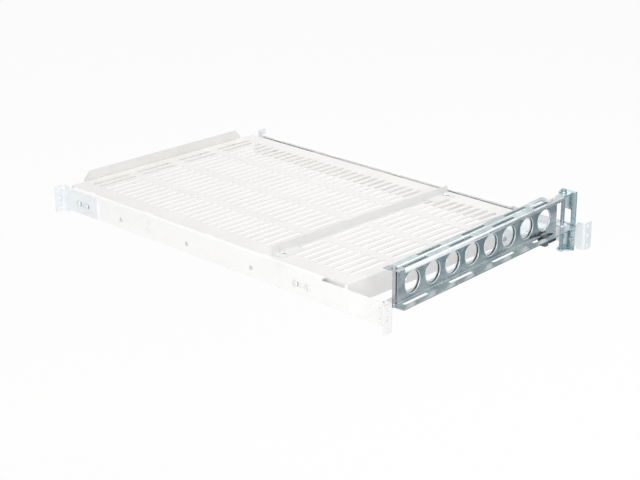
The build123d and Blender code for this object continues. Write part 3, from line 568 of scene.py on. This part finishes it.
@dataclass
class Deck:
    """Slotted tray of the shelf, folded from one sheet."""

    half_width: float = 210.0
    front: float = -1.5
    rear: float = 633.0
    top: float = 17.0
    sheet: float = 1.5
    edge: float = 0.25
    bend: float = 2.75
    notch: float = 4.0
    side_depth: float = 34.0
    front_depth: float = 20.0
    rear_depth: float = 35.0
    slot_half_length: float = 38.5
    slot_half_width: float = 4.0
    column_pitch: float = 93.0
    columns: int = 4
    rows: int = 38
    first_row: float = 21.25
    row_pitch: float = 15.875
    end_steps: int = 8
    bend_steps: int = 4

    def fold(self, along: np.ndarray, low: float, high: float) -> tuple[np.ndarray, np.ndarray]:
        """Folds a flat coordinate down past both edges.

        Inside the bends a point stays where it is. Within a bend it follows a quarter circle of
        the bend radius, and past it it runs straight down.

        Args:
            along: flat coordinates.
            low: the folded edge on the low side.
            high: the folded edge on the high side.

        Returns:
            The folded coordinate, and the drop below the top.
        """
        arc = self.bend * math.pi / 2
        past_high = np.maximum(along - (high - self.bend), 0.0)
        past_low = np.maximum((low + self.bend) - along, 0.0)
        past = past_high + past_low
        sign = np.where(along > (low + high) / 2, 1.0, -1.0)
        start = np.where(sign > 0, high - self.bend, low + self.bend)
        turn = np.minimum(past, arc) / self.bend
        folded = np.where(past > 0, start + sign * self.bend * np.sin(turn), along)
        drop = self.bend * (1 - np.cos(turn)) + np.maximum(past - arc, 0.0)
        return folded, drop

    def flat_lines(self, low: float, high: float, low_depth: float, high_depth: float,
                   between: np.ndarray) -> np.ndarray:
        """Grid lines of the flat sheet along one direction.

        Args:
            low: the folded edge on the low side.
            high: the folded edge on the high side.
            low_depth: how far the low flange reaches down.
            high_depth: how far the high flange reaches down.
            between: lines on the flat top.

        Returns:
            All the lines in order.
        """
        arc = self.bend * math.pi / 2
        bend = np.linspace(0.0, arc, self.bend_steps + 1)
        low_end = low + self.bend - arc - (low_depth - self.bend)
        high_end = high - self.bend + arc + (high_depth - self.bend)
        return np.concatenate([
            [low_end], low + self.bend - bend[::-1], [low + self.notch], between,
            [high - self.notch], high - self.bend + bend, [high_end]])

    def surface(self) -> Shape:
        """The tray's outer skin: one folded grid with its slots and corners left out.

        A grid line that bounds the ends of a column of slots is moved along the row by the root
        of the slot's half width squared less the distance from the slot's middle line squared,
        which rounds the ends.

        Returns:
            Points and faces.
        """
        centres = (np.arange(self.columns) - (self.columns - 1) / 2) * self.column_pitch
        reach = self.slot_half_length - self.slot_half_width
        ends = np.sort(np.concatenate([centres - reach, centres + reach]))
        across = self.flat_lines(-self.half_width, self.half_width, self.side_depth,
                                 self.side_depth, ends)
        is_end = np.isin(across, ends)
        order = np.cumsum(is_end)
        bulge = np.where(is_end, np.where(order % 2 == 1, -1.0, 1.0), 0.0)

        middles = self.first_row + np.arange(self.rows) * self.row_pitch
        angles = np.linspace(-math.pi / 2, math.pi / 2, self.end_steps + 1)
        steps = self.slot_half_width * np.sin(angles)
        band = (middles[:, None] + steps[None, :]).ravel()
        along = self.flat_lines(self.front, self.rear, self.front_depth, self.rear_depth, band)
        first = int(np.argmin(np.abs(along - band[0])))
        width = np.zeros(len(along))
        width[first:first + len(band)] = np.tile(self.slot_half_width * np.cos(angles), self.rows)

        flat_x = across[:, None] + bulge[:, None] * width[None, :]
        flat_y = np.broadcast_to(along[None, :], flat_x.shape)
        x, drop_x = self.fold(flat_x, -self.half_width, self.half_width)
        y, drop_y = self.fold(flat_y, self.front, self.rear)
        points = np.stack([x, y, self.top - drop_x - drop_y], axis=-1).reshape(-1, 3)

        in_slot_x = is_end[:-1] & is_end[1:] & (order[:-1] % 2 == 1)
        row_cell = np.arange(len(along) - 1) - first
        in_band = (row_cell >= 0) & (row_cell < len(band) - 1)
        in_slot_y = in_band & (row_cell % (self.end_steps + 1) != self.end_steps)
        mid_x = (across[:-1] + across[1:]) / 2
        mid_y = (along[:-1] + along[1:]) / 2
        side = np.abs(mid_x) > self.half_width - self.notch
        end = (mid_y < self.front + self.notch) | (mid_y > self.rear - self.notch)
        slots = in_slot_x[:, None] & in_slot_y[None, :]
        corners = side[:, None] & end[None, :]
        return points, grid_cells(len(across), len(along))[~(slots | corners)]

    def build(self, material: bpy.types.Material) -> None:
        """Builds the tray, in place of the plain one.

        Args:
            material: the finish.
        """
        tray = make_mesh("deck_tray", *self.surface())
        thicken(tray, self.sheet, self.edge)
        dress(tray, material, Body.SHELF)
        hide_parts("shelf_deck")


class Drive(Enum):
    """What the top of a fastener's head looks like."""

    CROSS = "cross recess"
    PLAIN = "plain dome"


@dataclass(frozen=True)
class Fastener:
    """One kind of screw or rivet, with its head on top of its seat."""

    head_radius: float
    head_height: float
    shank_radius: float
    shank_length: float
    drive: Drive = Drive.CROSS
    sides: int = 40
    rings: int = 12
    dome_power: float = 5.0
    dome_root: float = 0.4
    recess_share: float = 0.55
    recess_reach: float = 0.56
    recess_half_width: float = 0.15
    recess_slope: float = 0.06

    def surface(self) -> Shape:
        """Head, seat and shank about the Z axis, with the seat at height nought.

        The head's height at a share t of its radius is the full height times (1 - t^5)^0.4. A
        cross recess takes away a share of it wherever one of the two bars of the cross covers
        the point, with sloped walls.

        Returns:
            Points on a grid, and its faces.
        """
        share = np.sin(np.linspace(0.0, math.pi / 2, self.rings))
        fall = np.clip(1 - share ** self.dome_power, 0.0, 1.0)
        dome = self.head_height * fall ** self.dome_root
        shank = [self.shank_radius, self.shank_radius, 0.0]
        radii = np.concatenate([share * self.head_radius, shank])
        heights = np.concatenate([dome, [0.0, -self.shank_length, -self.shank_length]])
        points, faces = turned_surface(radii, heights, self.sides)
        if self.drive is Drive.CROSS:
            across = np.abs(points[..., :2])
            near = across.min(axis=-1) / self.head_radius
            far = across.max(axis=-1) / self.head_radius
            inside = np.clip((self.recess_half_width - near) / self.recess_slope + 1.0, 0.0, 1.0)
            within = np.clip((self.recess_reach - far) / self.recess_slope, 0.0, 1.0)
            head = (np.arange(len(radii)) < self.rings)[:, None]
            depth = self.recess_share * self.head_height * inside * within
            points[..., 2] -= np.where(head, depth, 0.0)
        return points, faces

    def fit(self, node: str, places: Sequence[Sequence[float]], outward: Sequence[float],
            material: bpy.types.Material, body: Body) -> None:
        """Makes all the fasteners of a node as one piece.

        Args:
            node: the CAD node that they replace.
            places: the middle of each seat.
            outward: the direction that the heads face.
            material: the finish.
            body: the body that they ride on.
        """
        points, faces = self.surface()
        local = points.reshape(-1, 3) @ axes_of(outward)
        everything = repeated(local, faces, np.array(places, dtype=float))
        piece = make_welded(node + "_heads", *everything)
        dress(piece, material, body)
        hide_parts(node)


# Head radius, head height, shank radius and shank length, in millimetres.
EAR_SCREW = Fastener(5.2, 3.0, 2.5, 4.6, recess_share=0.4)
RAIL_RIVET = Fastener(3.6, 1.0, 2.0, 2.6, drive=Drive.PLAIN)
INNER_SCREW = Fastener(3.4, 1.6, 2.0, 8.0)
LIP_RIVET = Fastener(3.5, 1.0, 2.0, 4.0, drive=Drive.PLAIN)
BAR_SCREW = Fastener(4.0, 2.5, 2.0, 9.4)
ARM_SCREW = Fastener(3.8, 2.2, 2.0, 4.0)
TONGUE_SCREW = Fastener(3.6, 2.2, 2.0, 5.0)


@dataclass
class Fasteners:
    """Every screw and rivet that shows, in the places of the CAD model."""

    ear_seat: float = 224.2
    rail_seat: float = 222.2
    deck_seat: float = 211.2
    ear_screw_ys: tuple[float, ...] = (40.0, 60.0, 545.0, 571.0)
    ear_screw_z: float = -1.5
    rivet_ys: tuple[float, ...] = (147.0, 306.0, 450.0)
    rivet_z: float = -3.5
    inner_ys: tuple[float, ...] = (60.0, 315.0, 570.0)
    lip_xs: tuple[float, ...] = (-160.0, -80.0, 0.0, 80.0, 160.0)
    lip_seat: float = -3.0
    lip_z: float = 8.0
    bar_x: float = 187.0
    bar_y: float = 480.0
    bar_seat: float = 18.5
    arm_seat: float = -220.2
    arm_ys: tuple[float, ...] = (692.85, 710.65)
    arm_z: float = 8.0
    tongue_xs: tuple[float, ...] = (-188.57, -148.57)
    tongue_seat: float = 635.0
    tongue_z: float = -9.0

    def build(self, wardrobe: "Wardrobe") -> None:
        """Replaces the plain fasteners with ones that have domed heads and recesses.

        Args:
            wardrobe: gives the finishes.
        """
        zinc = wardrobe.material(SCREW_ZINC)
        bright = wardrobe.material(RIVET_ZINC)
        pale = wardrobe.material(PALE_SCREW_ZINC)
        for side, name in SIDES:
            outward = (side, 0.0, 0.0)
            ears = [(side * self.ear_seat, y, self.ear_screw_z) for y in self.ear_screw_ys]
            EAR_SCREW.fit("ear_bracket_screws_" + name, ears, outward, pale, Body.RAILS)
            rivets = [(side * self.rail_seat, y, self.rivet_z) for y in self.rivet_ys]
            RAIL_RIVET.fit("rail_rivets_" + name, rivets, outward, bright, Body.RAILS)
            inner = [(side * self.deck_seat, y, 0.0) for y in self.inner_ys]
            INNER_SCREW.fit("slide_inner_screws_" + name, inner, outward, zinc, Body.SHELF)
        lip = [(x, self.lip_seat, self.lip_z) for x in self.lip_xs]
        LIP_RIVET.fit("shelf_lip_rivets", lip, (0.0, -1.0, 0.0), bright, Body.SHELF)
        bar = [(x, self.bar_y, self.bar_seat) for x in (-self.bar_x, self.bar_x)]
        BAR_SCREW.fit("stop_bar_screws", bar, (0.0, 0.0, 1.0), pale, Body.SHELF)
        arm = [(self.arm_seat, y, z) for y in self.arm_ys for z in (-self.arm_z, self.arm_z)]
        ARM_SCREW.fit("cable_arm_bracket_screws", arm, (1.0, 0.0, 0.0), zinc, Body.RAILS)
        tongue = [(x, self.tongue_seat, self.tongue_z) for x in self.tongue_xs]
        TONGUE_SCREW.fit("cable_arm_tongue_screws", tongue, (0.0, 1.0, 0.0), zinc, Body.SHELF)


@dataclass
class BallRows:
    """Full rows of balls in the slides' cages, for the two in each strip of the CAD model."""

    radius: float = 1.5
    outer_x: float = 215.2
    inner_x: float = 214.2
    outer_z: float = 15.05
    inner_z: float = 10.75
    first: float = 165.0
    last: float = 445.0
    count: int = 29
    rings: int = 7
    sides: int = 10

    def build(self, wardrobe: "Wardrobe") -> None:
        """Makes the rows: each ball is a half circle turned about an upright axis.

        Args:
            wardrobe: gives the finish.
        """
        steel = wardrobe.material(BALL_STEEL)
        swing = np.linspace(0.0, math.pi, self.rings)
        ball, faces = turned_surface(self.radius * np.sin(swing), self.radius * np.cos(swing),
                                     self.sides)
        ys = np.linspace(self.first, self.last, self.count)
        races = (("outer", self.outer_x, self.outer_z), ("inner", self.inner_x, self.inner_z))
        for side, name in SIDES:
            for race, x, z in races:
                centres = np.array([(side * x, y, up * z) for up in (-1.0, 1.0) for y in ys])
                node = "slide_" + race + "_balls_" + name
                piece = make_welded(node + "_row", *repeated(ball.reshape(-1, 3), faces, centres))
                dress(piece, steel, Body(race + "_balls_" + name))
                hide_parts(node)


@dataclass
class ArmTrim:
    """Raised rims of the rear arm's lightening holes and the rolled edge along its top lip."""

    pivot: tuple[float, float] = (-210.0, 698.25)
    elbow: tuple[float, float] = (214.5, 726.5)
    web_face: float = 1.65
    hole_height: float = 38.0
    hole_radius: float = 16.8
    first_hole: float = 55.5
    hole_pitch: float = 47.2
    holes: int = 8
    rim_width: float = 1.0
    rim_height: float = 0.4
    rim_sides: int = 72
    rim_steps: int = 7
    lip_face: float = 14.15
    lip_low: float = 63.2
    lip_high: float = 68.6
    lip_bulge: float = 1.0
    lip_start: float = 20.4
    lip_end: float = 419.0
    lip_steps: int = 10

    def to_part(self, u: np.ndarray, v: np.ndarray, z: np.ndarray) -> np.ndarray:
        """Turns points of the arm's frame into the part's frame.

        Args:
            u: distances from the pivot towards the elbow.
            v: distances from the arm's line to the rear.
            z: heights.

        Returns:
            Array of the same shape with X, Y and Z last.
        """
        start = np.array(self.pivot)
        run = np.array(self.elbow) - start
        along = run / np.linalg.norm(run)
        x = start[0] + u * along[0] - v * along[1]
        y = start[1] + u * along[1] + v * along[0]
        return np.stack([x, y, z], axis=-1)

    def rims(self) -> Shape:
        """Half-round beads round the holes.

        A point at angle a round the hole and angle b round the bead lies at the hole's radius
        plus half the bead's width times (1 + cos b) from the hole's middle, and at the bead's
        height times sin b off the web.

        Returns:
            Points and faces of all the rims.
        """
        around = np.linspace(0.0, 2 * math.pi, self.rim_sides + 1)[None, :, None]
        bead = np.linspace(0.0, math.pi, self.rim_steps)[None, None, :]
        middle = (self.first_hole + self.hole_pitch * np.arange(self.holes))[:, None, None]
        reach = self.hole_radius + self.rim_width / 2 * (1 + np.cos(bead))
        u = middle + reach * np.cos(around)
        z = self.hole_height + reach * np.sin(around)
        v = self.web_face + self.rim_height * np.sin(bead)
        points = self.to_part(*np.broadcast_arrays(u, v, z))
        cells = grid_cells(self.rim_sides + 1, self.rim_steps).reshape(-1, 4)
        per_hole = (self.rim_sides + 1) * self.rim_steps
        return points.reshape(-1, 3), copied_faces(cells, self.holes, per_hole)

    def rolled_edge(self) -> Shape:
        """A shallow half-round strip along the lip, closed at both ends.

        At angle b it lies at the lip's middle height less half its height times cos b, and
        bulges by the bulge times sin b. At the two ends the bulge and the height shrink to
        nothing.

        Returns:
            Points and faces.
        """
        bead = np.linspace(0.0, math.pi, self.lip_steps)[None, :]
        u = np.array([self.lip_start, self.lip_start, self.lip_end, self.lip_end])[:, None]
        full = np.array([0.0, 1.0, 1.0, 0.0])[:, None]
        middle = (self.lip_low + self.lip_high) / 2
        z = middle - full * (self.lip_high - self.lip_low) / 2 * np.cos(bead)
        v = self.lip_face + full * self.lip_bulge * np.sin(bead)
        points = self.to_part(*np.broadcast_arrays(u, v, z))
        return points.reshape(-1, 3), grid_cells(*z.shape).reshape(-1, 4)

    def build(self, wardrobe: "Wardrobe") -> None:
        """Makes the rims and the rolled edge.

        Args:
            wardrobe: gives the finishes.
        """
        # The rims and the rolled lip wear the brighter zinc: a painted highlight.
        edge = wardrobe.material(HIGHLIGHT_ZINC)
        for name, shape in (("arm_hole_rims", self.rims()), ("arm_rolled_lip", self.rolled_edge())):
            dress(make_welded(name, *shape), edge, Body.REAR_ARM)


@dataclass
class Wardrobe:
    """Finishes of the CAD nodes, by the start of their names; the first that fits counts."""

    rules: tuple[tuple[str, Finish], ...] = (
        ("shelf_deck", DECK_COAT),
        ("shelf_front_lip", SHADED_LIP_COAT),
        ("shelf_lip_rivets", SCREW_ZINC),
        ("stop_bar_screws", SCREW_ZINC),
        ("stop_bar_nuts", SCREW_ZINC),
        ("stop_bar", SHADED_BAR_COAT),
        ("slide_inner_screws", SCREW_ZINC),
        ("slide_stop", STOP_RUBBER),
        ("slide_outer_balls", BALL_STEEL),
        ("slide_inner_balls", BALL_STEEL),
        ("slide_outer_cages", CAGE_ACETAL),
        ("slide_inner_cages", CAGE_ACETAL),
        ("slide_", SLIDE_ZINC),
        ("rail_rivets", SCREW_ZINC),
        ("rail_", RAIL_ZINC),
        ("ear_bracket_screws", PALE_SCREW_ZINC),
        ("rear_ear_bracket_right", RAIL_ZINC),
        ("rear_ear_bracket", BRACKET_ZINC),
        ("front_ear_bracket", BRACKET_ZINC),
        ("cable_arm_rear", ARM_ZINC),
        ("cable_arm_front", ARM_ZINC),
        ("cable_arm_bracket_screws", SCREW_ZINC),
        ("cable_arm_bracket", PIVOT_ZINC),
        ("cable_arm_pivot_rod", ROD_ZINC),
        ("cable_arm_bumper_clip", CLIP_PAINTED_SHADE),
        ("cable_arm_bumper", STOP_RUBBER),
        ("cable_arm_top_clip", CLIP_NYLON),
        ("cable_arm_tongue_screws", SCREW_ZINC),
        ("cable_arm_tongue", BRACKET_ZINC),
        ("cable_arm_washer", HIGHLIGHT_ZINC),
        ("cable_arm_", PIN_STEEL))
    made: dict[str, bpy.types.Material] = field(default_factory=dict)

    def material(self, finish: Finish) -> bpy.types.Material:
        """The material of a finish, built once.

        Args:
            finish: the finish.

        Returns:
            Its material.
        """
        if finish.name not in self.made:
            self.made[finish.name] = finish.build()
        return self.made[finish.name]

    def dress_nodes(self, nodes: dict[str, bpy.types.Object]) -> None:
        """Gives every CAD node the finish of the first rule that fits its name.

        Args:
            nodes: node name to object.
        """
        for name, node in sorted(nodes.items()):
            finish = next(finish for start, finish in self.rules if name.startswith(start))
            node.data.materials.clear()
            node.data.materials.append(self.material(finish))
            log.info("%s wears %s", name, finish.name)


@dataclass(frozen=True)
class Lamp:
    """A soft square lamp that faces the object: place, size and aim in metres, power in watts."""

    name: str
    place: tuple[float, float, float]
    power: float
    size: float = 1.6
    aim: tuple[float, float, float] = (0.0, 0.35, 0.0)

    def build(self) -> None:
        """Hangs the lamp."""
        data = bpy.data.lights.new(self.name, "AREA")
        data.shape = "SQUARE"
        data.size = self.size
        data.energy = self.power
        lamp = bpy.data.objects.new(self.name, data)
        bpy.context.scene.collection.objects.link(lamp)
        lamp.location = Vector(self.place)
        towards = Vector(self.aim) - lamp.location
        lamp.rotation_mode = "QUATERNION"
        lamp.rotation_quaternion = towards.to_track_quat("-Z", "Y")


@dataclass(frozen=True)
class Card:
    """A grey blue glowing card behind the object, in metres, which only reflections show: it paints
    a darker reflection on the arm's web.
    """

    name: str = "arm_card"
    place: tuple[float, float, float] = (-1.09, 1.35, -0.27)
    aim: tuple[float, float, float] = (0.0, 0.71, 0.04)
    width: float = 1.3
    height: float = 0.62
    shade: str = "#93A3AB"

    def build(self) -> None:
        """Stands the card."""
        half_width, half_height = self.width / 2 / MM, self.height / 2 / MM
        card = make_mesh(self.name, *flat_sheet(half_width, half_height, 0.0))
        facing = (Vector(self.aim) - Vector(self.place)).to_track_quat("Z", "Y")
        card.matrix_world = Matrix.Translation(Vector(self.place)) @ facing.to_matrix().to_4x4()
        material, tree = bare_material(self.name + "_painted_reflection")
        glow = add_node(tree, "ShaderNodeEmission", {"Color": linear(self.shade), "Strength": 1.0})
        add_node(tree, "ShaderNodeOutputMaterial", {"Surface": glow.outputs[0]})
        card.data.materials.append(material)
        card.visible_camera = False
        card.visible_shadow = False
        card.visible_diffuse = False


@dataclass
class Studio:
    """Plain pale floor, soft lamps, a card and a pale world."""

    floor_z: float = -600.0
    floor_half: float = 9000.0
    fibre_mm: float = 4.0
    fibre_span: tuple[float, float] = (0.3, 0.7)
    fibre_shades: tuple[str, str] = ("#F8F8F8", "#FDFDFD")
    floor_glow: float = 0.9
    world_light: str = "#FFFEFC"
    world_strength: float = 0.63
    lamps: tuple[Lamp, ...] = (Lamp("key", (-1.4, 0.4, 2.2), 25.0),
                               Lamp("fill", (2.1, 2.9, 1.35), 34.0),
                               Lamp("side", (2.4, 0.9, 0.5), 7.0))
    card: Card = Card()

    def floor(self) -> None:
        """Builds the floor: it looks nearly white to the camera, and takes soft shadows."""
        sheet = flat_sheet(self.floor_half, self.floor_half, self.floor_z)
        floor = make_mesh("floor", *sheet)
        material, tree = bare_material("matt_studio_paper")
        fibre = add_node(tree, "ShaderNodeTexNoise", {
            "Vector": object_points(tree), "Scale": per_metre(self.fibre_mm), "Detail": 2.0})
        shades = [linear(shade) for shade in self.fibre_shades]
        tone = add_node(tree, "ShaderNodeValToRGB", {"Fac": fibre.outputs["Fac"]},
                        stops=tuple(zip(self.fibre_span, shades)))
        matt = add_node(tree, "ShaderNodeBsdfDiffuse", {"Color": tone.outputs["Color"]})
        glow = add_node(tree, "ShaderNodeEmission", {"Color": grey(1.0), "Strength": 1.0})
        share = add_node(tree, "ShaderNodeMath", {0: seen_share(tree), 1: self.floor_glow},
                         operation="MULTIPLY")
        mixed = add_node(tree, "ShaderNodeMixShader", {
            0: share.outputs[0], 1: matt.outputs[0], 2: glow.outputs[0]})
        add_node(tree, "ShaderNodeOutputMaterial", {"Surface": mixed.outputs[0]})
        floor.data.materials.append(material)

    def world(self) -> None:
        """A pale world: white to the camera and in reflections, dimmer as light on the object."""
        world = bpy.data.worlds.new("pale_studio")
        bpy.context.scene.world = world
        world.use_nodes = True
        tree = world.node_tree
        tree.nodes.clear()
        lighting = add_node(tree, "ShaderNodeBackground", {
            "Color": linear(self.world_light), "Strength": self.world_strength})
        shown = add_node(tree, "ShaderNodeBackground", {"Color": grey(1.0), "Strength": 1.0})
        mixed = add_node(tree, "ShaderNodeMixShader", {
            0: seen_share(tree), 1: lighting.outputs[0], 2: shown.outputs[0]})
        add_node(tree, "ShaderNodeOutputWorld", {"Surface": mixed.outputs[0]})

    def build(self) -> None:
        """Builds the floor, the lamps, the card and the world."""
        self.floor()
        for lamp in self.lamps:
            lamp.build()
        self.card.build()
        self.world()


@dataclass
class PhotoCamera:
    """Camera at the photograph's viewing angle, fitted to the ear holes and the deck's edges."""

    place: tuple[float, float, float] = (1739.9, 2071.9, 860.7)
    yaw: float = -135.74
    pitch: float = -20.295
    roll: float = 0.031
    focal_pixels: float = 1605.2
    sensor_mm: float = 36.0
    nearest: float = 0.05
    farthest: float = 60.0

    def build(self) -> None:
        """Makes the scene's camera."""
        data = bpy.data.cameras.new("photo_camera")
        data.sensor_width = self.sensor_mm
        data.lens = self.focal_pixels / IMAGE_WIDTH * self.sensor_mm
        data.clip_start = self.nearest
        data.clip_end = self.farthest
        camera = bpy.data.objects.new("photo_camera", data)
        bpy.context.scene.collection.objects.link(camera)
        yaw, pitch, roll = (math.radians(angle) for angle in (self.yaw, self.pitch, self.roll))
        forward = Vector((math.cos(pitch) * math.cos(yaw), math.cos(pitch) * math.sin(yaw),
                          math.sin(pitch)))
        right = forward.cross(Vector((0.0, 0.0, 1.0))).normalized()
        up = right.cross(forward)
        turned_right = math.cos(roll) * right + math.sin(roll) * up
        turned_up = -math.sin(roll) * right + math.cos(roll) * up
        axes = Matrix((turned_right, turned_up, -forward)).transposed()
        camera.matrix_world = Matrix.Translation(Vector(self.place) * MM) @ axes.to_4x4()
        bpy.context.scene.camera = camera


def main() -> None:
    """Builds the dressed shelf, the studio and the camera."""
    logging.basicConfig(level=logging.INFO, format="%(name)s: %(message)s")
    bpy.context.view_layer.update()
    wardrobe = Wardrobe()
    wardrobe.dress_nodes(frame["nodes"])
    Deck().build(wardrobe.material(DECK_COAT))
    Fasteners().build(wardrobe)
    BallRows().build(wardrobe)
    ArmTrim().build(wardrobe)
    Studio().build()
    PhotoCamera().build()
    bpy.context.scene.view_settings.view_transform = "Standard"


if __name__ == "__main__":
    main()
